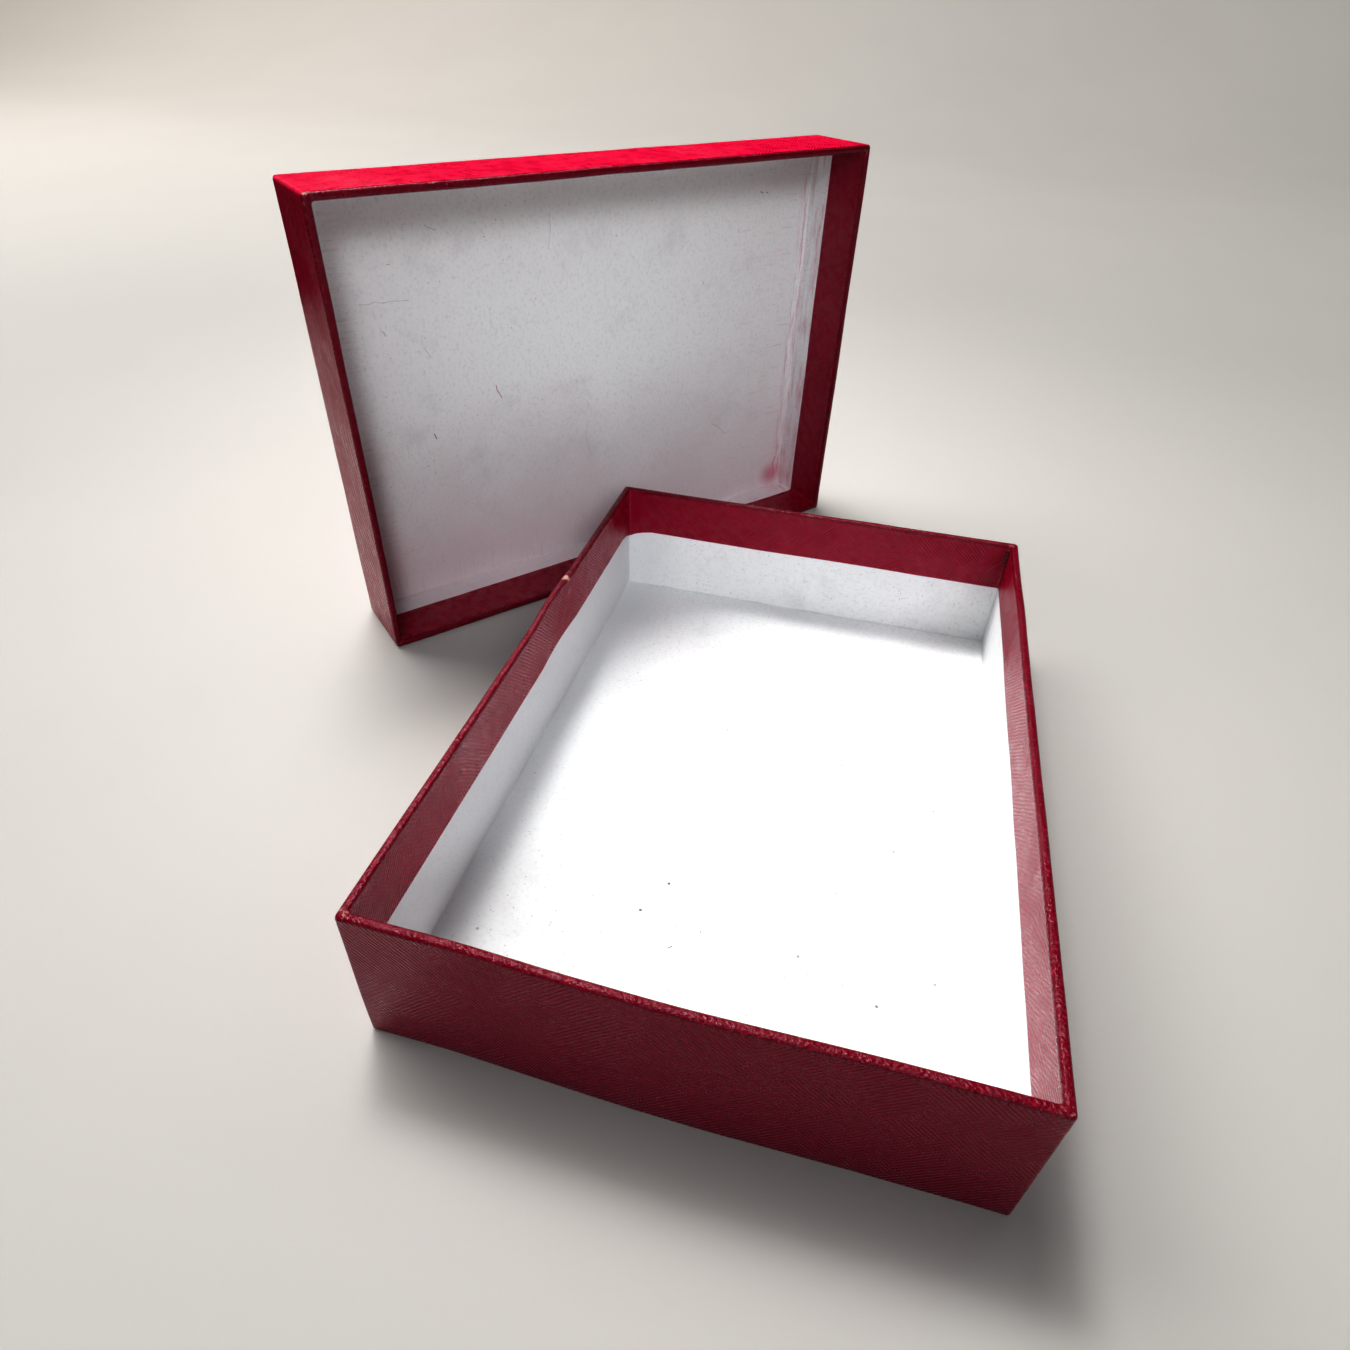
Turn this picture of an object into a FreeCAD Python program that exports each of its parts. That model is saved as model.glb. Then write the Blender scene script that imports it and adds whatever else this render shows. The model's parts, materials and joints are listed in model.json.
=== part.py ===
import FreeCAD, Part
import os

os.makedirs("parts", exist_ok=True)

# A rigid two-piece gift box: a deep tray and a shallower lift-off lid.
# Each half is one scored and folded blank of white-lined board, its four
# corners stayed with paper tape, then covered by one sheet of leatherette
# paper that runs under the bottom, up the walls, over the rim and a short
# way down inside.
#
# Frame: origin at the centre of the tray's bottom face, +Z up, +Y along the
# tray's long side. The lid stands on one long wall behind the tray's back
# left corner, open side towards the tray. Lengths in mm, angles in degrees.

# --- The space inside the tray, and its heights --------------------------
INSIDE_WIDTH = 127.0      # between the turned-in rims, short way
INSIDE_LENGTH = 178.0     # the same, long way
TRAY_HEIGHT = 40.0        # floor of the room to rim
LID_DEPTH = 27.0          # outside of the lid's panel to its rim

# --- Sheets ---------------------------------------------------------------
BOARD = 1.8               # white-lined board
PAPER = 0.2               # leatherette covering paper
TAPE = 0.12               # corner stay, pressed flush into the board

# --- How the halves are made up ---------------------------------------------
TRAY_TURN_IN = 16.0       # paper band down the inside of the tray's walls
LID_TURN_IN = 16.0        # the same in the lid
LID_PLAY = 0.7            # air between tray and lid walls, each side
CORNER_ROUND = 1.0        # upright corners, over the paper
RIM_ROUND = 0.95          # both edges of the rim, over the paper
FOLD_ROUND = 0.7          # fold between bottom and walls, over the paper
SLIT = 0.1                # open cut where an end wall meets a side wall
STAY_LEG = 12.0           # how far a stay reaches along each wall
STAY_MARGIN = 1.5         # bare board above and below a stay

# --- Where the lid stands ------------------------------------------------------
LID_TURN = 49.1           # lid's long side, measured from the tray's short side
LID_GAP = 5.4             # tray's back left corner to the plane of the lid's rim
LID_LEFT_REACH = 86.6     # length of lid to the left of that corner

ORIGIN = FreeCAD.Vector(0, 0, 0)
SIDE = FreeCAD.Vector(1, 0, 0)
ALONG = FreeCAD.Vector(0, 1, 0)
UP = FreeCAD.Vector(0, 0, 1)
NEAR = 1e-4               # how close two levels count as the same
CORNERS = {
    "front_left": (-1, -1),
    "front_right": (1, -1),
    "back_left": (-1, 1),
    "back_right": (1, 1),
}


def block(width, length, bottom, top):
    """Plain block centred on the Z axis, between two levels."""
    start = FreeCAD.Vector(-width / 2, -length / 2, bottom)
    return Part.makeBox(width, length, top - bottom, start)


def round_block(width, length, bottom, top, corner):
    """The same block with its four upright edges rounded."""
    body = block(width, length, bottom, top)
    uprights = [edge for edge in body.Edges if edge.BoundBox.ZLength > (top - bottom) / 2]
    return body.makeFillet(corner, uprights)


def edges_at(shape, level):
    """Edges that lie flat at one level."""
    return [
        edge for edge in shape.Edges
        if abs(edge.BoundBox.ZMin - level) < NEAR and abs(edge.BoundBox.ZMax - level) < NEAR
    ]


def rounded_case(width, length, hollow, bottom, top, inset):
    """Outer block less a hollow, with corners, rim and bottom fold rounded.

    inset is how far this surface lies under the outside of the paper, so the
    roundings of board and paper share their centres.
    """
    case = round_block(width, length, bottom, top, CORNER_ROUND - inset).cut(hollow)
    case = case.makeFillet(RIM_ROUND - inset, edges_at(case, top))
    return case.makeFillet(FOLD_ROUND - inset, edges_at(case, bottom))


def stay_tapes(width, length, depth):
    """One L of tape round each upright corner of a board of this outside size."""
    bottom = FOLD_ROUND + STAY_MARGIN
    top = depth - RIM_ROUND - STAY_MARGIN
    round_out = CORNER_ROUND - PAPER
    outer = round_block(width, length, bottom, top, round_out)
    inner = round_block(width - 2 * TAPE, length - 2 * TAPE, bottom, top, round_out - TAPE)
    sleeve = outer.cut(inner)
    tapes = {}
    for corner, (side, end) in CORNERS.items():
        reach = block(2 * STAY_LEG, 2 * STAY_LEG, bottom, top)
        reach.translate(FreeCAD.Vector(side * width / 2, end * length / 2, 0))
        tapes[corner] = sleeve.common(reach)
    return tapes


def corner_slits(width, length, inner_width, inner_length, depth):
    """Cuts that part the end walls from the inner faces of the side walls."""
    wall = (length - inner_length) / 2
    slits = []
    for side, end in CORNERS.values():
        slit = block(SLIT, 2 * wall, PAPER + BOARD, depth)
        middle = (length + inner_length) / 4
        slit.translate(FreeCAD.Vector(side * (inner_width - SLIT) / 2, end * middle, 0))
        slits.append(slit)
    return slits


def half_box(clear_width, clear_length, depth, turn_in):
    """Board, paper and stays of one half, open side up, bottom face at z = 0."""
    board_in = (clear_width + 2 * PAPER, clear_length + 2 * PAPER)
    board_out = (board_in[0] + 2 * BOARD, board_in[1] + 2 * BOARD)
    outside = (board_out[0] + 2 * PAPER, board_out[1] + 2 * PAPER)
    floor_top = PAPER + BOARD

    hollow = block(*board_in, floor_top, depth)
    case = rounded_case(*board_out, hollow, PAPER, depth - PAPER, PAPER)
    tapes = stay_tapes(*board_out, depth)
    slits = corner_slits(*board_out, *board_in, depth)
    board = case.cut(list(tapes.values()) + slits)

    mouth = block(clear_width, clear_length, depth - turn_in, depth)
    coat = rounded_case(*outside, mouth, 0, depth, 0)
    below_band = block(*board_in, floor_top, depth - turn_in)
    paper = coat.cut([case, below_band])
    return outside, {"board": board, "wrap": paper, "stays": tapes}


def write(half, pieces, place):
    """Each piece of a half goes to its own file, after place has set it in the frame."""
    named = {f"{half}_board": pieces["board"], f"{half}_wrap": pieces["wrap"]}
    for corner, tape in pieces["stays"].items():
        named[f"{half}_stay_{corner}"] = tape
    for name, shape in named.items():
        place(shape)
        if len(shape.Solids) != 1 or not shape.isValid():
            raise ValueError(f"{name} is not one sound solid")
        shape.Solids[0].exportStep(f"parts/{name}.step")
        print(name, round(shape.Volume, 1), "mm3")


# --- Tray ------------------------------------------------------------------
tray_outside, tray = half_box(INSIDE_WIDTH, INSIDE_LENGTH, TRAY_HEIGHT, TRAY_TURN_IN)
write("tray", tray, lambda shape: shape)

# --- Lid: slides over the outside of the tray ---------------------------------
lid_outside, lid = half_box(
    tray_outside[0] + 2 * LID_PLAY,
    tray_outside[1] + 2 * LID_PLAY,
    LID_DEPTH,
    LID_TURN_IN,
)


def stand_lid(shape):
    """Turn the lid on to a long wall, then set it behind the tray's back left corner."""
    turn = FreeCAD.Rotation(UP, LID_TURN)
    rim_run = turn.multVec(SIDE)
    away = turn.multVec(ALONG)
    tray_corner = FreeCAD.Vector(-tray_outside[0] / 2, tray_outside[1] / 2, 0)
    rim_left = tray_corner + away * LID_GAP - rim_run * LID_LEFT_REACH
    panel_middle = rim_left + rim_run * (lid_outside[1] / 2) + away * LID_DEPTH
    # Tipping a quarter turn about Y brings the open side to +X and a long wall down.
    shape.rotate(ORIGIN, ALONG, 90)
    shape.rotate(ORIGIN, UP, LID_TURN - 90)
    shape.translate(panel_middle + UP * (lid_outside[0] / 2))


write("lid", lid, stand_lid)
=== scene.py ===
# %% [markdown]
# # A red gift box with its lid off
# The real thing is a rigid box in two halves. Each half is a folded blank of
# white-lined board, covered by one sheet of leatherette paper that is turned
# in over the rim. The frame brings the exact sizes. Here each half gets the
# soft corners, the slight bow and the grain that a hand-covered box has.
#
# The order is: sizes, paper and board of both halves, their bow, the
# finishes, then table, lights and camera.

# %% Load the frame
import json
import math

import bmesh
import bpy
from mathutils import Matrix, Vector


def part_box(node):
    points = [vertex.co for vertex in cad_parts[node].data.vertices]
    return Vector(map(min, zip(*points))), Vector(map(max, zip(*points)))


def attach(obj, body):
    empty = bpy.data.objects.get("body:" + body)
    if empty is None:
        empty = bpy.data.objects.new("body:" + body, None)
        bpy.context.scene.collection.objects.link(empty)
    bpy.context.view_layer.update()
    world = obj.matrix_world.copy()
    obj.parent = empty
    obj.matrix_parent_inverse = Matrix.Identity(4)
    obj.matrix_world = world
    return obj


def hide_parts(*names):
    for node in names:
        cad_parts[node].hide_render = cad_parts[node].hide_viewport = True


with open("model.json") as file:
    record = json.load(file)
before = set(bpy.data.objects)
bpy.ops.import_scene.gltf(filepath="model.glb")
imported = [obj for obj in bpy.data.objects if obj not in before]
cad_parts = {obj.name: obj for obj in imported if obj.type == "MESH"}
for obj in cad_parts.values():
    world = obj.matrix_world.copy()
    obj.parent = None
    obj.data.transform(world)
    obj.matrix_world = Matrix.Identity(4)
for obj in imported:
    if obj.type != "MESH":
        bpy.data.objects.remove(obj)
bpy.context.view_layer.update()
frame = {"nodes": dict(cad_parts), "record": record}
nodes = frame["nodes"]
mounts = {mount["name"]: mount for mount in frame["record"]["mounts"]}
MM = 0.001

# %% [markdown]
# ## Sizes, read from the frame
# The tray stands square to the frame, so its box gives its sizes. The lid
# stands turned, so its directions come from its two flat faces: the panel
# looks along `away`, and the rim runs along `rim_run`. Both halves are made
# open side up round the origin, and the lid is set in its place afterwards.

# %% Thicknesses and rounds
BOARD = 1.8 * MM
PAPER = 0.2 * MM
TURN_IN = 16 * MM            # paper band down the inside of each wall
CORNER_ROUND = 1.0 * MM      # upright corners, outside
RIM_ROUND = 0.95 * MM        # a little under half the wall, so the rim is nearly a half round
FOLD_ROUND = 0.7 * MM        # along the bottom, outside
print("wall with its paper", BOARD + 2 * PAPER)

# %% Sizes of both halves
away = Vector(mounts["lid_panel"]["axis"])
rim_run = Vector((away.y, -away.x, 0))
lid_runs = [rim_run.dot(v.co) for v in nodes["lid_wrap"].data.vertices]
lid_levels = [v.co.z for v in nodes["lid_wrap"].data.vertices]
lid_middle = Vector(mounts["lid_stand"]["pos_m"])
panel_middle = Vector(mounts["lid_panel"]["pos_m"])

low, high = (Vector(corner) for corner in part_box("tray_wrap"))
tray_size = high - low
lid_size = Vector((
    max(lid_levels) - min(lid_levels),
    max(lid_runs) - min(lid_runs),
    2 * (panel_middle.xy - lid_middle.xy).length,
))
# The lid's own X looks down, its Y runs along the rim, its Z out of its mouth.
lid_place = Matrix.Translation(panel_middle) @ Matrix((
    (0, rim_run.x, -away.x),
    (0, rim_run.y, -away.y),
    (-1, 0, 0),
)).to_4x4()
print("tray", tray_size, "lid", lid_size)

# %% [markdown]
# ## The hand tools
# Every step of edit mode starts with a selection. With no window to click in,
# `pick` selects corners, edges or faces by a test on their place. `slice_up`
# cuts a piece by flat planes, which gives the walls enough corners to bow.

# %% Selecting
NEAR = 0.02 * MM             # two places closer than this count as the same


def open_up(piece):
    bpy.ops.object.select_all(action="DESELECT")
    piece.select_set(True)
    bpy.context.view_layer.objects.active = piece
    bpy.ops.object.mode_set(mode="EDIT")


def close():
    bpy.ops.object.mode_set(mode="OBJECT")


def pick(kind, test):
    bpy.ops.mesh.select_mode(type=kind)
    bpy.ops.mesh.select_all(action="DESELECT")
    mesh = bmesh.from_edit_mesh(bpy.context.object.data)
    parts = {"VERT": mesh.verts, "EDGE": mesh.edges, "FACE": mesh.faces}[kind]
    found = [part for part in parts if test(part)]
    for part in found:
        part.select_set(True)
    bmesh.update_edit_mesh(bpy.context.object.data)
    return len(found)


def upright(edge):
    one, two = (corner.co for corner in edge.verts)
    return (one.xy - two.xy).length < NEAR and abs(one.z - two.z) > NEAR


def at_level(edge, level):
    return all(abs(corner.co.z - level) < NEAR for corner in edge.verts)


print("corners are picked to within", NEAR)


# %% Cutting by planes
def slice_up(direction, places):
    for place in places:
        bpy.ops.mesh.select_mode(type="FACE")
        bpy.ops.mesh.select_all(action="SELECT")
        bpy.ops.mesh.bisect(plane_co=direction * place, plane_no=direction)


def steps(end, gap):
    """Even places from -end to end, about gap apart."""
    count = round(2 * end / gap)
    return [-end + 2 * end * k / count for k in range(count + 1)]


print("for example, every 10 mm:", steps(20 * MM, 10 * MM))

# %% [markdown]
# ## A box with one open side
# Paper and board start the same way: an outer block and a smaller one that
# is turned inside out, both with the same number of steps round each upright
# corner. Their open tops are bridged into a rim. Bridging gives every corner
# step its own clean strip across the rim, where an inset of the top would
# leave one long mitre that spoils the bevels.

# %% A rounded block without a top
CORNER_STEPS = 4


def round_edges(test, radius, segments):
    pick("EDGE", test)
    bpy.ops.mesh.bevel(offset=radius, segments=segments, affect="EDGES")


def topless_block(name, width, length, bottom, top, corner):
    """Block with rounded upright corners and no top, left open in edit mode."""
    bpy.ops.object.select_all(action="DESELECT")
    bpy.ops.mesh.primitive_cube_add(size=1, location=(0, 0, (bottom + top) / 2))
    block = bpy.context.object
    block.name = name
    block.scale = (width, length, top - bottom)
    bpy.ops.object.transform_apply(location=True, rotation=False, scale=True)
    open_up(block)
    round_edges(upright, corner, CORNER_STEPS)
    pick("FACE", lambda face: face.calc_center_median().z > top - NEAR)
    bpy.ops.mesh.delete(type="FACE")
    return block


print("each upright corner takes", CORNER_STEPS, "steps")


# %% A tub from two blocks
def tub(name, size, wall, floor, corner, inner_corner):
    """Outer block and inside-out inner block, bridged along the rim."""
    outer = topless_block(name, size.x, size.y, 0, size.z, corner)
    close()
    hollow = (size.x - 2 * wall, size.y - 2 * wall)
    inner = topless_block("inner", *hollow, floor, size.z, inner_corner)
    bpy.ops.mesh.select_all(action="SELECT")
    bpy.ops.mesh.flip_normals()
    close()
    outer.select_set(True)
    bpy.context.view_layer.objects.active = outer
    bpy.ops.object.join()
    open_up(outer)
    pick("EDGE", lambda e: e.is_boundary)
    bpy.ops.mesh.bridge_edge_loops()
    return outer, Vector((*hollow, 0))


print("a tub's wall is set by the paper and the board below")

# %% Rings of edges, and the cells of the walls
SIDE, ALONG, UP = Vector((1, 0, 0)), Vector((0, 1, 0)), Vector((0, 0, 1))
CELL = 4 * MM
BESIDE_CORNER = (1.6 * MM, 3 * MM, 5 * MM)     # finer cuts, counted from the hollow's corner
EVEN_FROM = 8 * MM                             # even cells start this far from it
BELOW_RIM = 1.5 * MM                           # the last level cut stays under the rim's round


def rim_ring(level):
    """Edges between the flat rim and a wall."""
    return lambda e: at_level(e, level) and any(abs(f.normal.z) < 0.5 for f in e.link_faces)


def cut_cells(size, floor, hollow):
    """Cuts the walls into cells, finer beside the corners of the hollow."""
    for direction, reach in ((SIDE, hollow.x / 2), (ALONG, hollow.y / 2)):
        slice_up(direction, steps(reach - EVEN_FROM, CELL))
        for sign in (-1, 1):
            slice_up(direction, [sign * (reach - gap) for gap in BESIDE_CORNER])
    rows = round((size.z - floor - RIM_ROUND) / CELL)
    cut_height = size.z - floor - BELOW_RIM
    slice_up(UP, [floor + cut_height * k / rows for k in range(1, rows + 1)])


print("walls are cut about every", CELL)

# %% [markdown]
# ## The covering paper
# One sheet runs under the bottom, up the walls, over the rim and 16 mm down
# inside. It is made as a bare skin, and Solidify then gives it the thickness
# of paper on its inner side. The paper doesn't reach right into the inner
# corners, so the upright inner edges are rounded. In the tray's back left
# corner the glued ends of two turn-ins hang a little deeper, and their lower
# edge rounds that corner of the white. The other corners are cut square.

# %% The corner where the turn-in hangs down
CORNER_DIP = 2.2 * MM
DIP_GAPS = (0.9 * MM, 1.8 * MM, 3.2 * MM, 5.2 * MM)     # each pull reaches further out
BACK_LEFT = (-1, 1)


def hang_down(corner, edge, hollow):
    """Pulls the lower edge down in one corner, in steps that widen to a curve."""
    for gap in DIP_GAPS:
        pick("VERT", lambda v: (
            v.is_boundary
            and abs(v.co.z - edge) < CORNER_DIP
            and (hollow.x / 2 - corner[0] * v.co.x) + (hollow.y / 2 - corner[1] * v.co.y) < gap
        ))
        bpy.ops.transform.translate(value=(0, 0, -CORNER_DIP / len(DIP_GAPS)))


print("the turn-in hangs", CORNER_DIP, "deeper in one corner")

# %% The paper sheet of one half
PAPER_INNER_ROUND = 0.8 * MM
RIM_STEPS = 4
PAPER_FOLD_STEPS = 3


def paper_sheet(name, size, hanging=()):
    edge = size.z - TURN_IN
    wall = BOARD + 2 * PAPER
    sheet, hollow = tub(name, size, wall, edge, CORNER_ROUND, PAPER_INNER_ROUND)
    pick("FACE", lambda f: abs(f.calc_center_median().z - edge) < NEAR)
    bpy.ops.mesh.delete(type="FACE")
    round_edges(rim_ring(size.z), RIM_ROUND, RIM_STEPS)
    round_edges(lambda e: at_level(e, 0), FOLD_ROUND, PAPER_FOLD_STEPS)
    cut_cells(size, 0, hollow)
    for corner in hanging:
        hang_down(corner, edge, hollow)
    close()
    skin = sheet.modifiers.new("paper thickness", "SOLIDIFY")
    skin.thickness = PAPER
    skin.offset = -1
    bpy.ops.object.modifier_apply(modifier=skin.name)
    return sheet


tray_paper = paper_sheet("tray_paper", tray_size, hanging=[BACK_LEFT])
lid_paper = paper_sheet("lid_paper", lid_size)
print("paper faces", len(tray_paper.data.polygons), len(lid_paper.data.polygons))

# %% [markdown]
# ## The board blank
# The board is thick enough to be a solid. The scored folds along the floor
# are soft, and the upright inner corners, where the walls were folded up
# against each other, are nearly sharp.

# %% The board of one half
BOARD_INNER_ROUND = 0.3 * MM
SCORE_ROUND = 0.28 * MM      # the soft fold round the floor, inside
BOARD_FOLD_STEPS = 2
SCORE_STEPS = 3


def board_blank(name, size):
    inner = Vector((size.x - 2 * PAPER, size.y - 2 * PAPER, size.z - 2 * PAPER))
    board, hollow = tub(name, inner, BOARD, BOARD, CORNER_ROUND - PAPER, BOARD_INNER_ROUND)
    round_edges(rim_ring(inner.z), RIM_ROUND - PAPER, RIM_STEPS)
    round_edges(lambda e: at_level(e, 0), FOLD_ROUND - PAPER, BOARD_FOLD_STEPS)
    round_edges(lambda e: at_level(e, BOARD), SCORE_ROUND, SCORE_STEPS)
    cut_cells(inner, BOARD, hollow)
    pick("VERT", lambda v: True)
    bpy.ops.transform.translate(value=(0, 0, PAPER))
    close()
    return board


tray_board = board_blank("tray_inside", tray_size)
lid_board = board_blank("lid_inside", lid_size)
print("board faces", len(tray_board.data.polygons), len(lid_board.data.polygons))

# %% [markdown]
# ## Bow and unevenness
# A covered box dries a little out of true. The tray's front wall bows out by
# nearly a millimetre: its middle is pulled with proportional editing, which
# lets the pull fade out before the corners. A short knock has pushed out the
# left wall just below its rim, and is pulled the same way. Then one cloud
# pattern moves paper and board alike by about a tenth of a millimetre, so
# that the gloss wanders along the walls as it does on a glued sheet.

# %% Bow the front wall and bulge the left one
FRONT_BOW = 0.9 * MM
BOW_REACH = 52 * MM
KNOCK_DEPTH = 0.9 * MM
KNOCK_REACH = 15 * MM
KNOCK_ALONG = 18 * MM                      # where along the left wall it sits
KNOCK_LEVELS = (3 * MM, 12 * MM)           # below the rim
WALL_DEEP = 4 * MM                         # takes in a wall's inner and outer face


def pull(piece, near, move, reach):
    open_up(piece)
    pick("VERT", near)
    bpy.ops.transform.translate(
        value=move,
        use_proportional_edit=True,
        proportional_edit_falloff="SMOOTH",
        proportional_size=reach,
    )
    close()


def middle_of_front(v):
    return abs(v.co.x) < CELL / 2 + NEAR and v.co.y < -tray_size.y / 2 + WALL_DEEP


def knocked_place(v):
    below_rim = tray_size.z - v.co.z
    return (
        v.co.x < -tray_size.x / 2 + WALL_DEEP
        and abs(v.co.y - KNOCK_ALONG) < CELL
        and KNOCK_LEVELS[0] < below_rim < KNOCK_LEVELS[1]
    )


before = [min(v.co[way] for v in tray_paper.data.vertices) for way in (0, 1)]
for piece in (tray_paper, tray_board):
    pull(piece, middle_of_front, (0, -FRONT_BOW, 0), BOW_REACH)
    pull(piece, knocked_place, (-KNOCK_DEPTH, 0, 0), KNOCK_REACH)
after = [min(v.co[way] for v in tray_paper.data.vertices) for way in (0, 1)]
print("left wall and front moved by", before[0] - after[0], before[1] - after[1])

# %% Unsettle every wall
CLOUD_SIZE = 28 * MM
CLOUD_PUSH = 0.28 * MM       # between its two extremes, which are rarely reached

clouds = bpy.data.textures.new("uneven_glue", "CLOUDS")
clouds.noise_scale = CLOUD_SIZE
clouds.noise_depth = 1


def unsettle(piece):
    for way in "XYZ":
        move = piece.modifiers.new("uneven " + way, "DISPLACE")
        move.texture = clouds
        move.texture_coords = "LOCAL"
        move.direction = way
        move.strength = CLOUD_PUSH
        move.mid_level = 0.5
        bpy.context.view_layer.objects.active = piece
        bpy.ops.object.modifier_apply(modifier=move.name)


for piece in (tray_paper, tray_board, lid_paper, lid_board):
    unsettle(piece)
print("highest corner of the tray now", max(v.co.z for v in tray_paper.data.vertices))

# %% [markdown]
# ## Lay of the sheet, and places on it
# The grain follows the paper, so the pieces are given a map in metres by a
# box projection. Marks and wear belong to places on the half itself, so each
# corner also remembers where it was before the lid is turned: the attribute
# `form` holds that place. Then the lid goes where the frame has it.

# %% Map the paper, and remember each place
SMOOTH_UNDER = math.radians(40)


def map_and_remember(piece):
    open_up(piece)
    bpy.ops.mesh.select_all(action="SELECT")
    bpy.ops.uv.cube_project(cube_size=1.0, correct_aspect=False, scale_to_bounds=False)
    close()
    form = piece.data.attributes.new("form", "FLOAT_VECTOR", "POINT")
    for corner, place in zip(piece.data.vertices, form.data):
        place.vector = corner.co


for piece in (tray_paper, tray_board, lid_paper, lid_board):
    map_and_remember(piece)
    bpy.ops.object.shade_smooth_by_angle(angle=SMOOTH_UNDER)
print("mapped", piece.name, "and the rest, smooth under", SMOOTH_UNDER, "radians")

# %% Set the lid in place, and say what each piece stands for
for piece in (lid_paper, lid_board):
    piece.data.transform(lid_place)
    piece.data.update()
print("lid now reaches up to", max(v.co.z for v in lid_paper.data.vertices))

for piece, body, node, slot in (
    (tray_paper, "tray", "tray_wrap", "paper"),
    (tray_board, "tray", "tray_board", "board"),
    (lid_paper, "lid", "lid_wrap", "paper"),
    (lid_board, "lid", "lid_board", "board"),
):
    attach(piece, body)
    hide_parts(node)

# %% [markdown]
# ## Node helpers
# The finishes are all node trees. A short helper adds a node and joins its
# inputs, so a finish reads as a list of steps. The number after a noise is
# its scale: how many of its blots come to a metre.

# %% Adding and joining nodes
def fresh_finish(name):
    finish = bpy.data.materials.new(name)
    finish.use_nodes = True
    tree = finish.node_tree
    surface = tree.nodes["Principled BSDF"]
    return finish, tree, surface


def give(tree, socket, value):
    """An input is a number, a colour or the socket that it comes from."""
    if isinstance(value, bpy.types.NodeSocket):
        tree.links.new(value, socket)
    else:
        socket.default_value = value


def node(tree, kind, settings=None, **inputs):
    """Adds a node. Inputs go by name, or by number as i0, i1 and so on."""
    made = tree.nodes.new("ShaderNode" + kind)
    for name, value in (settings or {}).items():
        setattr(made, name, value)
    for name, value in inputs.items():
        key = int(name[1:]) if name[0] == "i" and name[1:].isdigit() else name.replace("_", " ")
        give(tree, made.inputs[key], value)
    return made


def wear(piece, finish):
    """Gives a piece one finish in place of what it had."""
    piece.data.materials.clear()
    piece.data.materials.append(finish)


print("nodes can be added and joined")


# %% Sums, fades and mixes
def sums(tree, how, *values, clamp=False):
    given = {f"i{k}": value for k, value in enumerate(values)}
    return node(tree, "Math", {"operation": how, "use_clamp": clamp}, **given).outputs[0]


def times(tree, first, *others, clamp=False):
    for other in others:
        first = sums(tree, "MULTIPLY", first, other, clamp=clamp)
    return first


def fade(tree, value, start, end, low=0.0, high=1.0):
    """Smooth change from low to high as value goes from start to end."""
    return node(
        tree, "MapRange", {"interpolation_type": "SMOOTHSTEP"},
        Value=value, From_Min=start, From_Max=end, To_Min=low, To_Max=high,
    ).outputs[0]


def mixed(tree, amount, one, two):
    made = tree.nodes.new("ShaderNodeMix")
    made.data_type = "RGBA"
    amount_in, one_in, two_in = made.inputs[0], made.inputs[6], made.inputs[7]
    for socket, value in ((amount_in, amount), (one_in, one), (two_in, two)):
        give(tree, socket, value)
    return made.outputs[2]


print("sums, times, fade and mixed are ready")


# %% Noise and places
def noise(tree, place, scale, detail=3.0, roughness=0.55):
    return node(tree, "TexNoise", Vector=place, Scale=scale, Detail=detail, Roughness=roughness)


def blots(tree, place, scale, detail=3.0, roughness=0.55):
    """The noise as one number, mostly between 0.3 and 0.7."""
    return noise(tree, place, scale, detail, roughness).outputs["Fac"]


def stretched(tree, place, turn, scale):
    return node(
        tree, "Mapping", Vector=place, Rotation=(0, 0, turn), Scale=scale
    ).outputs[0]


def nudged(tree, place, push, amount):
    """Pushes a place about. Linear light adds the push less its middle grey."""
    return node(
        tree, "MixRGB", {"blend_type": "LINEAR_LIGHT"}, Fac=amount, Color1=place, Color2=push
    ).outputs[0]


def how_far(tree, place, point):
    return node(
        tree, "VectorMath", {"operation": "DISTANCE"}, i0=place, i1=point
    ).outputs["Value"]


def inside_edge(tree, half, value):
    """How far a place is inside the edges at -half and half."""
    return sums(tree, "SUBTRACT", half, sums(tree, "ABSOLUTE", value))


def place_on_half(tree):
    """The place that each corner remembers, in metres, and its three parts."""
    form = node(tree, "Attribute", {"attribute_name": "form"}).outputs["Vector"]
    parts = node(tree, "SeparateXYZ", Vector=form).outputs
    return form, parts[0], parts[1], parts[2]


print("the remembered place has", len(tray_paper.data.attributes["form"].data), "corners on the tray's paper")

# %% [markdown]
# ## Leatherette paper
# The paper is embossed with fine ribs on both diagonals, a little under a
# millimetre apart, under a glossy film. Two wave patterns at +45 and -45
# degrees make the ribs. Slow noise lets one family lead here and the other
# there, which gives the watered look at a low angle. An image of the grain
# would blur close up and show its repeats, and a wave does neither.

# %% Ribs on both diagonals
RIB_PITCH = 0.9 * MM
WAVE_LENGTH = math.tau / 20      # a wave texture of scale 1 repeats after this
RIB_STRAY = 0.00035              # how far the ribs wander, as a share of the noise


def ribs(tree, lay, degrees):
    turned = stretched(tree, lay, math.radians(degrees), (1, 1, 1))
    return node(
        tree, "TexWave", {"wave_type": "BANDS", "bands_direction": "X"},
        Vector=turned, Scale=WAVE_LENGTH / RIB_PITCH, Distortion=1.1,
        Detail=2.0, Detail_Scale=0.6, Detail_Roughness=0.5,
    ).outputs["Fac"]


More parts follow.
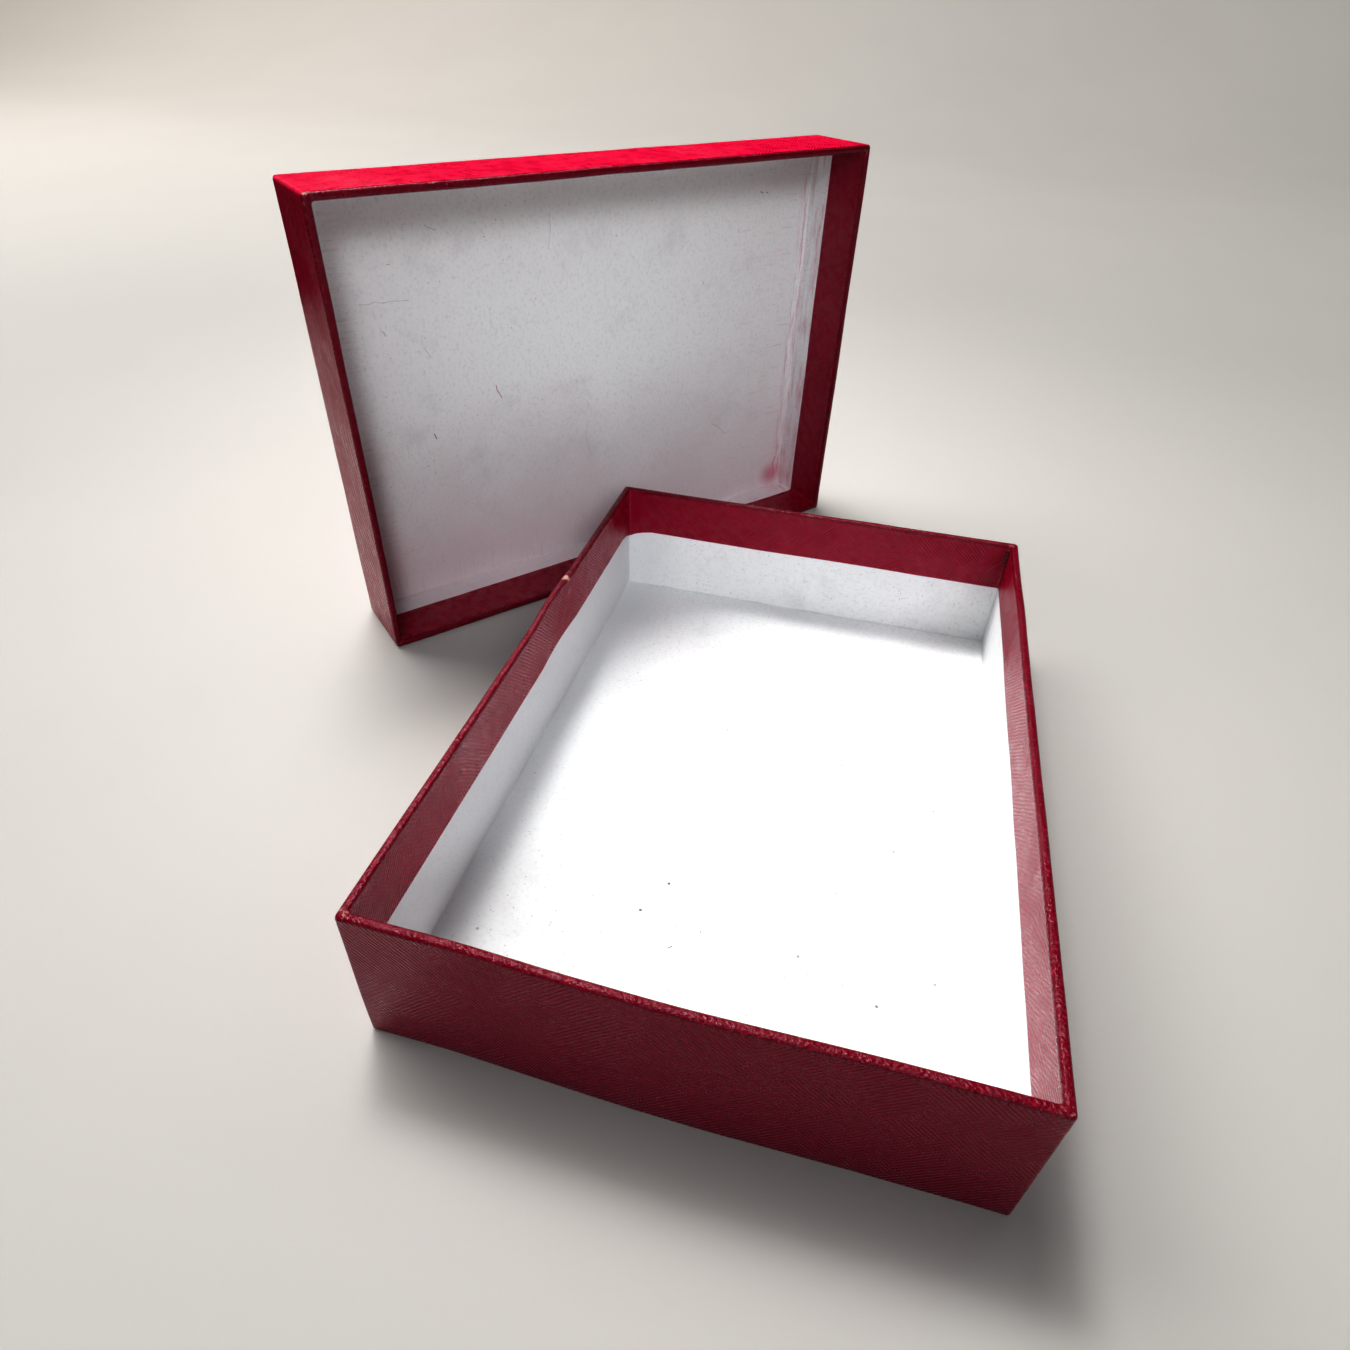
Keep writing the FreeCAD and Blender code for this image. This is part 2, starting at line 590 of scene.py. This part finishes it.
def embossing(tree, form):
    """Height of the ribs, 0 to 1. Each family leads in its own areas."""
    lay = node(tree, "TexCoord").outputs["UV"]
    lay = nudged(tree, lay, noise(tree, form, 160, 2).outputs["Color"], RIB_STRAY)
    rising, falling = ribs(tree, lay, 45), ribs(tree, lay, -45)
    choice = fade(tree, blots(tree, form, 45, 2), 0.38, 0.62, 0.10, 0.90)
    other = sums(tree, "SUBTRACT", 1.0, choice)
    return sums(tree, "ADD", times(tree, rising, choice), times(tree, falling, other))


print("ribs every", RIB_PITCH, "- wave scale", WAVE_LENGTH / RIB_PITCH)

# %% [markdown]
# Over the rim the paper is stretched: its ribs flatten, fine crumples take
# their place and the film shines more. Pores lie over all of it, and the
# uneven glue lifts the sheet in slow swells. The relief is a bump, because
# ribs a few hundredths of a millimetre high aren't worth a million faces.

# %% Relief and gloss
RIM_BELOW, RIM_ABOVE = 1.6 * MM, 0.3 * MM     # levels under the rim's crest
RELIEF = 0.12 * MM
FLAT_RIBS = 0.45
CRUMPLES = 3.2
PORES = 0.25
SWELL = 0.6


def on_rim(tree, z, size):
    return fade(tree, z, size.z - RIM_BELOW, size.z - RIM_ABOVE)


def relief(tree, surface, form, grain, rim):
    crumple = times(tree, blots(tree, form, 1100, 3, 0.6), CRUMPLES)
    stretched_grain = sums(tree, "ADD", times(tree, grain, FLAT_RIBS), crumple)
    pressed = mixed(tree, rim, grain, stretched_grain)
    height = sums(tree, "ADD", pressed, times(tree, blots(tree, form, 2600, 2), PORES))
    fine = node(tree, "Bump", Strength=1.0, Distance=RELIEF, Height=height)
    swell = node(
        tree, "Bump", Strength=SWELL, Distance=RELIEF,
        Height=blots(tree, form, 70, 2), Normal=fine.outputs[0],
    )
    tree.links.new(swell.outputs[0], surface.inputs["Normal"])


def gloss(tree, surface, form, grain, rim):
    rough = fade(tree, blots(tree, form, 240, 4), 0.3, 0.7, 0.21, 0.30)
    rough = sums(tree, "ADD", rough, times(tree, grain, 0.08))
    rough = sums(tree, "SUBTRACT", rough, times(tree, rim, 0.08))
    tree.links.new(rough, surface.inputs["Roughness"])


print("relief", RELIEF, "with crumples", CRUMPLES, "times as high on the rim")

# %% [markdown]
# The colour is a nearly even crimson, deeper in slow patches and along the
# ribs, and deepest on the stretched rim. The lid's upper side gets a brighter
# red as painted light, and the outside of the tray's front wall a deeper red
# as painted shade, because the lights alone don't set them apart enough. Two
# masks find those walls by how close a place is to the outside.

# %% Reds of the sheet
CRIMSON = (0.33, 0.0010, 0.031, 1)
DEEP = (0.19, 0.0005, 0.016, 1)
# Painted light for the lid's upper side, and painted shade for the tray's front wall.
PAINTED_LIGHT_RED = (0.64, 0.0012, 0.052, 1)
PAINTED_SHADE_RED = (0.15, 0.0010, 0.020, 1)
RIM = (0.14, 0.0005, 0.012, 1)
WORN = (0.36, 0.003, 0.030, 1)
FILM_TINT = (1.0, 0.72, 0.80, 1)     # the film's gloss is a little rosy


# Painted shade: the outside of the tray's front wall gets a deeper red than the lights leave on it.
def painted_shade_front(tree, y, size):
    return fade(tree, y, -size.y / 2 + 1.0 * MM, -size.y / 2 + 0.3 * MM, 0, 0.55)


# Painted light: the lid's upper side gets a brighter red than the lights leave on it.
def painted_light_top(tree, x, size):
    return fade(tree, x, -size.x / 2 + 1.2 * MM, -size.x / 2 + 0.5 * MM, 0, 0.8)


def reds(tree, form, grain, rim, painted_tone_mask, painted_tone_red):
    patches = fade(tree, blots(tree, form, 30, 4), 0.3, 0.75, 0.28, 0.46)
    colour = mixed(tree, patches, CRIMSON, DEEP)
    colour = mixed(tree, times(tree, grain, 0.7), colour, DEEP)
    # Here the lid's upper side gets its painted light and the tray's front wall its painted shade.
    colour = mixed(tree, painted_tone_mask, colour, painted_tone_red)
    rub = fade(tree, blots(tree, form, 700), 0.58, 0.78)
    colour = mixed(tree, times(tree, rim, 0.95), colour, RIM)
    return mixed(tree, times(tree, rim, rub, clamp=True), colour, WORN)


print("reds from", RIM[:3], "to", PAINTED_LIGHT_RED[:3])

# %% [markdown]
# Wear and some painted light belong to places. The corners of both rims are
# nicked, and the pale nicks also stand in for the glints on the creased
# corners, as painted highlight. The tray's left rim has a chip where the film
# is gone and the paper shows. The turn-in of the back wall stops just short
# of the right-hand corner, and the shade in that slot is painted dark. All
# three are spots of colour, found by distance.

# %% Nicks with painted glints, painted slot shade and chip
# Pale paper where the film is gone; on the nicks it is also a painted highlight.
BARE_AND_GLINT = (0.74, 0.46, 0.38, 1)
# Painted shade for the slot.
GAP_SHADE = (0.05, 0.0005, 0.004, 1)
CHIP_ALONG = 30 * MM                 # where along the left rim it sits


# Nicks at the rim's corners: partly real wear, partly painted highlight for the glints on their creases.
def nicks_and_glints(tree, form, rim, from_x, from_y):
    at_corner = fade(tree, sums(tree, "MAXIMUM", from_x, from_y), 3.4 * MM, 0.4 * MM)
    ragged = fade(tree, blots(tree, form, 900), 0.54, 0.66, 0, 0.7)
    return times(tree, at_corner, rim, ragged)


# Painted shade: the dark of the slot where the back turn-in stops.
def slot(tree, x, y, z, size):
    side = size.x / 2 - BOARD
    beside = fade(tree, x, side - 2.0 * MM, side - 1.0 * MM)
    on_back = fade(tree, y, size.y / 2 - 3.4 * MM, size.y / 2 - 2.8 * MM, 0, 0.85)
    below = sums(tree, "SUBTRACT", size.z, z)
    lower_end, upper_end = fade(tree, below, 10 * MM, 5 * MM), fade(tree, below, 1.0 * MM, 2.5 * MM)
    return times(tree, times(tree, beside, on_back), times(tree, lower_end, upper_end))


def chip(tree, form, size):
    middle = (-size.x / 2 + 0.6 * MM, CHIP_ALONG, size.z - 0.4 * MM)
    ragged = times(tree, blots(tree, form, 800), 2.6 * MM)
    edge = sums(tree, "ADD", how_far(tree, form, middle), ragged)
    return fade(tree, edge, 2.9 * MM, 2.3 * MM, 0, 0.75)


print("the chip sits", CHIP_ALONG, "behind the middle of the left rim")


# %% Both sheets get their finish
def leatherette(name, size, on_tray):
    finish, tree, surface = fresh_finish(name)
    form, x, y, z = place_on_half(tree)
    grain = embossing(tree, form)
    rim = on_rim(tree, z, size)
    relief(tree, surface, form, grain, rim)
    gloss(tree, surface, form, grain, rim)
    # The tray's front wall takes painted shade, the lid's upper side painted light.
    if on_tray:
        own = painted_shade_front(tree, y, size), PAINTED_SHADE_RED
    else:
        own = painted_light_top(tree, x, size), PAINTED_LIGHT_RED
    colour = reds(tree, form, grain, rim, *own)
    from_x, from_y = inside_edge(tree, size.x / 2, x), inside_edge(tree, size.y / 2, y)
    # Nicks with painted highlight on the rim's corners.
    colour = mixed(tree, nicks_and_glints(tree, form, rim, from_x, from_y), colour, BARE_AND_GLINT)
    if on_tray:
        # Painted shade in the slot at the back right.
        colour = mixed(tree, slot(tree, x, y, z, size), colour, GAP_SHADE)
        colour = mixed(tree, chip(tree, form, size), colour, BARE_AND_GLINT)
    tree.links.new(colour, surface.inputs["Base Color"])
    surface.inputs["Specular IOR Level"].default_value = 0.4
    surface.inputs["Specular Tint"].default_value = FILM_TINT
    return finish


for piece, size, on_tray in ((tray_paper, tray_size, True), (lid_paper, lid_size, False)):
    finish = leatherette("leatherette_" + piece.name, size, on_tray)
    wear(piece, finish)
    print(finish.name, "has", len(finish.node_tree.nodes), "nodes")

# %% [markdown]
# ## White lining of the board
# The lining is an uncoated white paper: matt, very slightly cool, with short
# fibres and a few dark specks of recycled pulp, and a little greyer along its
# folds. Specks are rare cells of a Voronoi pattern, which keeps them round and
# scattered. They come in two sizes, and more of them lie towards the front.

# %% White paper with its fibres
WHITE = (0.83, 0.850, 0.858, 1)
GREYED = (0.62, 0.636, 0.655, 1)


def white_paper(tree, form, cloud, fibres):
    colour = mixed(tree, fade(tree, cloud, 0.50, 0.80, 0, 0.55), WHITE, GREYED)
    mottle = blots(tree, form, 900, 3, 0.6)
    colour = mixed(tree, fade(tree, mottle, 0.48, 0.75, 0, 0.45), colour, GREYED)
    return mixed(tree, fade(tree, fibres, 0.5, 0.8, 0, 0.3), colour, GREYED)


print("white", WHITE[:3], "greyed", GREYED[:3])

# %% Specks of pulp
SPECK = (0.10, 0.085, 0.08, 1)
COARSE, FINE = 650.0, 1400.0     # cells to a metre


def specks(tree, form, y, size, share, colour):
    for fineness, part, strongest in ((COARSE, share, 0.95), (FINE, 4 * share, 0.6)):
        cells = node(tree, "TexVoronoi", Vector=form, Scale=fineness)
        lucky = node(tree, "SeparateColor", Color=cells.outputs["Color"]).outputs
        to_front = fade(tree, y, size.y / 2, -size.y / 2, part / 3, part)
        chosen = sums(tree, "SUBTRACT", sums(tree, "ADD", lucky[0], to_front), 1.0)
        size_here = fade(tree, chosen, 0.0, 0.04, 0.0, 0.30)
        within = sums(tree, "SUBTRACT", size_here, cells.outputs["Distance"])
        strength = fade(tree, lucky[1], 0.3, 1.0, 0.2, strongest)
        amount = times(tree, fade(tree, within, 0.0, 0.08), strength)
        colour = mixed(tree, amount, colour, SPECK)
    return colour


print("speck cells are", 1 / COARSE, "and", 1 / FINE, "wide")

# %% [markdown]
# Hairs and scuffs that stand out are placed one by one. Each is a short
# stroke: the distance to a line, in a place that noise has bent a little.

# %% Strokes
BEND = 0.0022
STROKE_CORE = 0.3                # full strength out to this share of the width


def stroke(tree, along, across, middle, length, turn, width):
    """How strongly a point lies on a short stroke: 1 on it, 0 away from it."""
    c, s = math.cos(math.radians(turn)), math.sin(math.radians(turn))
    u = sums(tree, "SUBTRACT", along, middle[0] * MM)
    v = sums(tree, "SUBTRACT", across, middle[1] * MM)
    run = sums(tree, "ADD", times(tree, u, c), times(tree, v, s))
    off = sums(tree, "SUBTRACT", times(tree, v, c), times(tree, u, s))
    past_end = sums(tree, "SUBTRACT", sums(tree, "ABSOLUTE", run), length * MM / 2)
    past_end = sums(tree, "MAXIMUM", past_end, 0.0)
    far = sums(tree, "MAXIMUM", past_end, sums(tree, "ABSOLUTE", off))
    return fade(tree, far, width * MM, width * MM * STROKE_CORE)


def strokes(tree, form, marks, colour):
    bent = nudged(tree, form, noise(tree, form, 130, 2).outputs["Color"], BEND)
    bent_x, bent_y, _ = node(tree, "SeparateXYZ", Vector=bent).outputs
    for middle, length, turn, width, tint in marks:
        on = stroke(tree, bent_y, bent_x, middle, length, turn, width)
        colour = mixed(tree, times(tree, on, tint[3]), colour, (*tint[:3], 1))
    return colour


print("strokes bend by up to", BEND, "times the noise")

# %% Darker along the folds
# The grey that the folds are darkened with.
FOLD_GREY = (0.42, 0.41, 0.41, 1)


# Greys the lining along its folds.
def darker_at_folds(tree, form, x, y, z, size, colour):
    lining_edge = BOARD + PAPER
    from_x = inside_edge(tree, size.x / 2 - lining_edge, x)
    from_y = inside_edge(tree, size.y / 2 - lining_edge, y)
    from_floor = sums(tree, "SUBTRACT", z, lining_edge)
    nearer, further = sums(tree, "MINIMUM", from_x, from_y), sums(tree, "MAXIMUM", from_x, from_y)
    # A fold is where two of the three distances are small.
    fold = sums(tree, "MINIMUM", sums(tree, "MAXIMUM", nearer, from_floor), further)
    uneven = fade(tree, blots(tree, form, 90), 0.35, 0.65, 0.2, 1.0)
    return mixed(tree, times(tree, fade(tree, fold, 0.8 * MM, 0.1 * MM, 0, 0.32), uneven), colour, FOLD_GREY)


print("dust reaches", 0.8 * MM, "from a fold")


# %% The lining put together
def lining(name, size, speck_share, marks):
    """Everything both linings share. The colour is handed back to be worked on."""
    finish, tree, surface = fresh_finish(name)
    form, x, y, z = place_on_half(tree)
    cloud = blots(tree, form, 55, 6, 0.7)
    fibres = blots(tree, stretched(tree, form, 0, (350, 3000, 1500)), 1.0)
    colour = white_paper(tree, form, cloud, fibres)
    colour = specks(tree, form, y, size, speck_share, colour)
    colour = strokes(tree, form, marks, colour)
    colour = darker_at_folds(tree, form, x, y, z, size, colour)
    surface.inputs["Specular IOR Level"].default_value = 0.25
    rough = fade(tree, cloud, 0.3, 0.7, 0.72, 0.86)
    tree.links.new(rough, surface.inputs["Roughness"])
    tooth = sums(tree, "ADD", blots(tree, form, 1800, 4, 0.65), fibres)
    bump = node(tree, "Bump", Strength=0.5, Distance=0.05 * MM, Height=tooth)
    tree.links.new(bump.outputs[0], surface.inputs["Normal"])
    return finish, tree, surface, colour, (form, x, y, z)


print("the lining lies", BOARD + PAPER, "inside the outer faces")

# %% [markdown]
# The tray's lining has few marks. Along its left fold it is painted a little
# greyer, as painted shade that deepens the soft shade the wall throws there.

# %% Lining of the tray
# Each mark: middle (along the long side, along the short side) in mm from
# the middle of the half, length, turn, width, and tint with its strength.
DARK_HAIR = (0.16, 0.13, 0.13, 0.8)
FAINT_HAIR = (0.42, 0.36, 0.38, 0.55)
RED_HAIR = (0.42, 0.07, 0.12, 0.75)
TRAY_MARKS = (
    ((-56, -9.5), 1.1, 35, 0.28, DARK_HAIR),
    ((-30, 26), 0.7, 80, 0.22, DARK_HAIR),
    ((-13, 39.5), 0.9, 20, 0.2, DARK_HAIR),
    ((-54, 7), 2.4, 85, 0.16, FAINT_HAIR),
    ((20, -11), 0.6, 0, 0.22, DARK_HAIR),
    ((66, 46), 0.8, 50, 0.2, FAINT_HAIR),
)
TRAY_SPECKS = 0.055
# Reach of the painted shade beside the left wall.
PAINTED_SHADE_REACH = (26 * MM, 4 * MM)       # from the left fold: none of it, all of it

finish, tree, surface, colour, (_, x, _, _) = lining("lining_tray", tray_size, TRAY_SPECKS, TRAY_MARKS)
left_fold = -tray_size.x / 2 + BOARD
# Painted shade: the floor is greyed beside the left wall, where the wall's shadow falls.
painted_wall_shade = fade(tree, x, left_fold + PAINTED_SHADE_REACH[0], left_fold + PAINTED_SHADE_REACH[1], 0, 0.6)
tree.links.new(mixed(tree, painted_wall_shade, colour, GREYED), surface.inputs["Base Color"])
wear(tray_board, finish)
print(finish.name, "has", len(TRAY_MARKS), "marks and", len(tree.nodes), "nodes")

# %% [markdown]
# ## Rubs inside the lid
# The lid slides over the red tray each time the box is closed, so red has
# rubbed off on its lining: along the right-hand fold, in the lower right
# corner and in a faint pink veil near the wall it stands on. That veil also
# darkens the lining towards that wall, as painted shade. These are layered
# over the same lining, each one noise stretched along the way it was rubbed.
# In the lid's own directions X runs down and Y to the right.

# %% Marks inside the lid
LID_MARKS = (
    ((-54, -53), 4.0, 40, 0.2, FAINT_HAIR),
    ((-60, -18), 3.0, 65, 0.2, FAINT_HAIR),
    ((-38.5, -1), 4.2, 62, 0.24, RED_HAIR),
    ((-62, 9.5), 1.4, 70, 0.24, DARK_HAIR),
    ((-73, -25), 1.4, 60, 0.22, FAINT_HAIR),
    ((69, -52), 0.8, 10, 0.22, DARK_HAIR),
    ((71, -52.3), 0.6, 0, 0.2, DARK_HAIR),
    ((44, -25), 1.0, 90, 0.2, FAINT_HAIR),
    ((56, 33), 9.0, 40, 0.2, FAINT_HAIR),
    ((-16, -48), 10.0, 90, 0.12, FAINT_HAIR),
    ((-72, -34), 15.0, 4, 0.14, FAINT_HAIR),
    ((-75, 49), 8.0, -12, 0.16, FAINT_HAIR),
    ((-5, 22), 12.0, 88, 0.12, FAINT_HAIR),
    ((89.6, -44), 26.0, 90, 0.18, FAINT_HAIR),
    ((89.2, -12), 20.0, 91, 0.16, FAINT_HAIR),
    ((89.0, 28), 46.0, 89, 0.18, FAINT_HAIR),
    ((88.6, 58), 9.0, 88, 0.5, RED_HAIR),
)
print("marks inside the lid:", len(LID_MARKS))

# %% Red that has rubbed off
PINK = (0.52, 0.13, 0.20, 1)
# Pink rub that also carries painted shade towards the lower wall.
PINK_AND_SHADE_VEIL = (0.62, 0.50, 0.53, 1)
LID_SPECKS = 0.016
FOLD_INSET = 3.4 * MM                # the line along the right-hand fold that is rubbed most
SMUDGE_AT = (61 * MM, 87 * MM, 4 * MM)


def right_fold(tree, y, streaks):
    off_line = sums(tree, "ABSOLUTE", sums(tree, "SUBTRACT", y, lid_size.y / 2 - FOLD_INSET))
    return times(tree, times(tree, fade(tree, off_line, 5 * MM, 0.0), fade(tree, streaks, 0.45, 0.72)), 0.6)


def rubbed(tree, form, x, y, colour):
    sunk = blots(tree, form, 22)
    low_down = sums(tree, "ADD", x, times(tree, sums(tree, "SUBTRACT", sunk, 0.5), 60 * MM))
    # Pink rub and painted shade: pinker and darker towards the wall the lid stands on.
    colour = mixed(tree, fade(tree, low_down, -5 * MM, 68 * MM, 0.0, 0.6), colour, PINK_AND_SHADE_VEIL)
    streaks = blots(tree, stretched(tree, form, 0, (70, 900, 400)), 1.0, 5, 0.65)
    cross = blots(tree, stretched(tree, form, 0, (1400, 90, 400)), 1.0, 5, 0.65)
    swipes = times(tree, fade(tree, y, 40 * MM, 88 * MM), fade(tree, cross, 0.56, 0.78))
    brushed = times(tree, fade(tree, y, -74 * MM, -92 * MM), fade(tree, cross, 0.5, 0.75))
    scuffs = times(tree, fade(tree, x, 48 * MM, 66 * MM), fade(tree, streaks, 0.5, 0.75))
    edge = sums(tree, "ADD", how_far(tree, form, SMUDGE_AT), times(tree, sunk, 6 * MM))
    for amount in (
        right_fold(tree, y, streaks),
        times(tree, swipes, 0.45),
        times(tree, brushed, 0.4),
        times(tree, scuffs, 0.18),
        fade(tree, edge, 10.5 * MM, 4 * MM, 0, 0.75),
    ):
        colour = mixed(tree, amount, colour, PINK)
    return colour


finish, tree, surface, colour, (form, x, y, _) = lining("lining_lid", lid_size, LID_SPECKS, LID_MARKS)
tree.links.new(rubbed(tree, form, x, y, colour), surface.inputs["Base Color"])
wear(lid_board, finish)
print(finish.name, "has", len(tree.nodes), "nodes")

# %% [markdown]
# ## Gummed tape of the corner stays
# The stays are hidden under the paper, but they keep an honest finish: brown
# gummed paper with long fibres.

# %% Brown tape
TAPE_LIGHT = (0.46, 0.31, 0.17, 1)
TAPE_DARK = (0.30, 0.19, 0.10, 1)

tape, tree, surface = fresh_finish("gummed_tape")
place = node(tree, "TexCoord").outputs["Object"]
strands = blots(tree, stretched(tree, place, 0, (600, 600, 90)), 1.0, 4)
browns = mixed(tree, fade(tree, strands, 0.35, 0.7), TAPE_LIGHT, TAPE_DARK)
tree.links.new(browns, surface.inputs["Base Color"])
surface.inputs["Roughness"].default_value = 0.7
stays = [stay for name, stay in nodes.items() if "_stay_" in name]
for stay in stays:
    wear(stay, tape)
print("taped corners:", len(stays))

# %% [markdown]
# ## Table and sweep
# A pale table runs back into a sweep: the far edge is extruded upwards and
# its fold is rounded, so there is no line between floor and wall. The table
# reaches far to the front too, for views from behind. The sweep doesn't show
# in the gloss, which leaves the reds deep.

# %% Pale table
STAGE_WIDTH = 12
TABLE_FRONT, TABLE_BACK = -6.0, 1.0
SWEEP_BACK = 2.5
SWEEP_HEIGHT = 2.6
SWEEP_ROUND = 1.3
SWEEP_STEPS = 32


def flat_sheet(name, centre, width, length, rotation=(0, 0, 0)):
    bpy.ops.object.select_all(action="DESELECT")
    bpy.ops.mesh.primitive_plane_add(size=1, location=centre, rotation=rotation)
    sheet = bpy.context.object
    sheet.name = name
    sheet.scale = (width, length, 1)
    bpy.ops.object.transform_apply(location=True, rotation=True, scale=True)
    return sheet


def lying(name, near, far):
    return flat_sheet(name, (0, (near + far) / 2, 0), STAGE_WIDTH, far - near)


table = lying("table", TABLE_FRONT, TABLE_BACK)
open_up(table)
bpy.ops.mesh.subdivide(number_cuts=3)
close()
print("table", STAGE_WIDTH, "by", TABLE_BACK - TABLE_FRONT, "metres")

# %% Sweep behind it
sweep = lying("sweep", TABLE_BACK, SWEEP_BACK)
open_up(sweep)
pick("EDGE", lambda e: all(v.co.y > SWEEP_BACK - 0.1 for v in e.verts))
bpy.ops.mesh.extrude_region_move(TRANSFORM_OT_translate={"value": (0, 0, SWEEP_HEIGHT)})
pick("EDGE", lambda e: all(v.co.y > SWEEP_BACK - 0.1 and abs(v.co.z) < NEAR for v in e.verts))
bpy.ops.mesh.bevel(offset=SWEEP_ROUND, segments=SWEEP_STEPS, affect="EDGES")
close()
bpy.ops.object.shade_smooth()
sweep.visible_glossy = False
print("sweep faces", len(sweep.data.polygons))

# %% Matt paint for both
PALE = (0.455, 0.445, 0.429, 1)
PALE_TOO = (0.445, 0.435, 0.420, 1)

paint, tree, surface = fresh_finish("table_paint")
place = node(tree, "TexCoord").outputs["Object"]
drift = fade(tree, blots(tree, place, 5), 0.3, 0.7)
tree.links.new(mixed(tree, drift, PALE, PALE_TOO), surface.inputs["Base Color"])
surface.inputs["Roughness"].default_value = 0.75
surface.inputs["Specular IOR Level"].default_value = 0.1
fine = node(tree, "Bump", Strength=0.1, Distance=0.05 * MM, Height=blots(tree, place, 700))
tree.links.new(fine.outputs[0], surface.inputs["Normal"])
table.data.materials.append(paint)
sweep.data.materials.append(paint)
print("painted", table.name, "and", sweep.name)

# %% [markdown]
# ## A dark flag
# A black board stands to the left and shows only in the gloss. It keeps the
# left walls from shining white, as a black card does in a studio.

# %% Flag
flag = flat_sheet("flag", (-0.40, 0.1, 0.35), 0.68, 0.9, rotation=(0, math.radians(90), 0))
for sight in ("camera", "diffuse", "transmission", "shadow", "volume_scatter"):
    setattr(flag, "visible_" + sight, False)
felt, tree, surface = fresh_finish("flag_felt")
surface.inputs["Base Color"].default_value = (0.02, 0.02, 0.02, 1)
surface.inputs["Roughness"].default_value = 1.0
flag.data.materials.append(felt)
print("flag stands at", flag.data.vertices[0].co.x)

# %% [markdown]
# ## Lights
# Five soft lamps light the whole stage. Two hang high, behind and to the
# left, so the rims shine, the tray's floor is bright and the front walls
# fall dark. One fills in weakly from the front, and two light the sweep.
# Two more have a grid, which is a narrow `spread`: one lights the lid's
# upper side from above and one the inside of the lid, and neither spills
# much on the table. The lamps themselves are hidden from the camera.

# %% A soft lamp
DAYLIGHT = (1.0, 0.985, 0.965)
COOL = (0.97, 0.98, 1.0)
WARM = (1.0, 0.92, 0.84)
CREAM = (1.0, 0.98, 0.95)


def soft_light(name, place, aim, width, power, colour, grid=180):
    lamp = bpy.data.lights.new(name, "AREA")
    lamp.shape = "DISK"
    lamp.size = width
    lamp.energy = power
    lamp.color = colour
    lamp.spread = math.radians(grid)
    holder = bpy.data.objects.new(name, lamp)
    bpy.context.collection.objects.link(holder)
    holder.location = place
    holder.rotation_euler = (Vector(aim) - Vector(place)).to_track_quat("-Z", "Y").to_euler()
    holder.visible_camera = False
    print(name, power, "W,", width, "m wide, at", tuple(round(part, 2) for part in holder.location))


# %% Lamps for the stage
tray_floor = (0, 0.02, 0)
soft_light("overhead", (-0.48, 0.70, 1.9), tray_floor, 0.8, 17, DAYLIGHT)
soft_light("left_window", (-1.3, 0.45, 1.5), tray_floor, 1.2, 20, DAYLIGHT)
soft_light("front_fill", (0.2, -1.4, 1.7), (0, 0.1, 0.05), 1.6, 5.8, COOL)
soft_light("sweep_left", (-1.6, 1.0, 1.7), (-2.2, 2.1, 0.3), 1.0, 23, WARM)
soft_light("sweep_right", (0.9, 1.3, 1.7), (0.7, 2.5, 0.3), 1.0, 8, CREAM)

# %% Lamps with a grid, for the lid
upper_lid = lid_middle + UP * 0.1
inner_lid = lid_middle + UP * 0.082
from_above = upper_lid + Vector((-0.24, 0.25, 1.0))
from_front = inner_lid - away * 0.66 - rim_run * 0.30 + UP * 0.42
soft_light("lid_pool", from_above, upper_lid, 0.25, 0.29, DAYLIGHT, grid=40)
soft_light("lid_grid", from_front, inner_lid, 0.34, 0.102, COOL, grid=28)

# %% [markdown]
# The room adds a faint even light. Its own reflection is switched off, which
# leaves the reds deep. The high-contrast look lets the white floor of the
# tray burn out a little, as it does in strong daylight.

# %% Room and view
room = bpy.data.worlds.new("room")
room.use_nodes = True
sky = room.node_tree.nodes["Background"]
sky.inputs["Color"].default_value = (0.96, 0.97, 1.0, 1)
sky.inputs["Strength"].default_value = 0.055
bpy.context.scene.world = room
room.cycles_visibility.glossy = False
bpy.context.scene.view_settings.view_transform = "Standard"
bpy.context.scene.view_settings.look = "High Contrast"
print("view", bpy.context.scene.view_settings.view_transform, bpy.context.scene.view_settings.look)

# %% [markdown]
# ## Camera
# A wide lens held close, above the front of the tray and turned a little to
# the left, with a slight roll. The camera's three directions are worked out
# first: where it looks, its right and its up.

# %% Camera
EYE = (0.0160, -0.1670, 0.17814)
LOOKS = (-0.1955, 0.7643, -0.6145)
HELD_UP = (-0.1796, 0.5881, 0.7886)

lens = bpy.data.cameras.new("camera")
lens.lens = 22.78
lens.sensor_width = 36
lens.shift_x = 0.0083
lens.shift_y = -0.0183
lens.clip_start = 0.01
camera = bpy.data.objects.new("camera", lens)
bpy.context.collection.objects.link(camera)
bpy.context.scene.camera = camera
looks = Vector(LOOKS).normalized()
camera_right = looks.cross(Vector(HELD_UP)).normalized()
camera_up = camera_right.cross(looks)
camera.matrix_world = Matrix.Translation(EYE) @ Matrix((
    (camera_right.x, camera_up.x, -looks.x),
    (camera_right.y, camera_up.y, -looks.y),
    (camera_right.z, camera_up.z, -looks.z),
)).to_4x4()
print("camera", EYE[2], "m above the table, lens", lens.lens, "mm")
